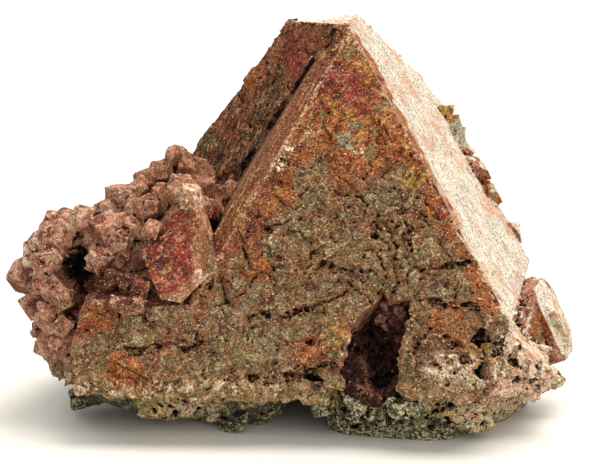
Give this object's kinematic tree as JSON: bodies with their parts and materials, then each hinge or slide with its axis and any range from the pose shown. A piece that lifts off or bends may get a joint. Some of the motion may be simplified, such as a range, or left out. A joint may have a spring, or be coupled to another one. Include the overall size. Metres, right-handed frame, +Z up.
{
  "type": "spinel crystal specimen",
  "caption": "Large octahedral spinel crystals grown together, with clusters of small crystals and a lined hollow, on grey-green matrix rock.",
  "frame": {"origin": "middle of the specimen's box, on the surface that it stands on", "axes": "+Z up, +X to the right along the specimen's length, -Y towards the viewer who faces the large front crystal face"},
  "size_m": [0.0918, 0.0626, 0.0619],
  "materials": {
    "spinel": "weathered red-brown to orange crystal faces under a tan and grey-green film",
    "matrix": "rough granular grey-green and olive rock",
    "crust": "small dusty pink-brown crystals in a dark hollow"
  },
  "bodies": {
    "root": {"spinel_crystals": "spinel", "matrix_rock": "matrix", "cavity_crust": "crust"}
  },
  "joints": []
}
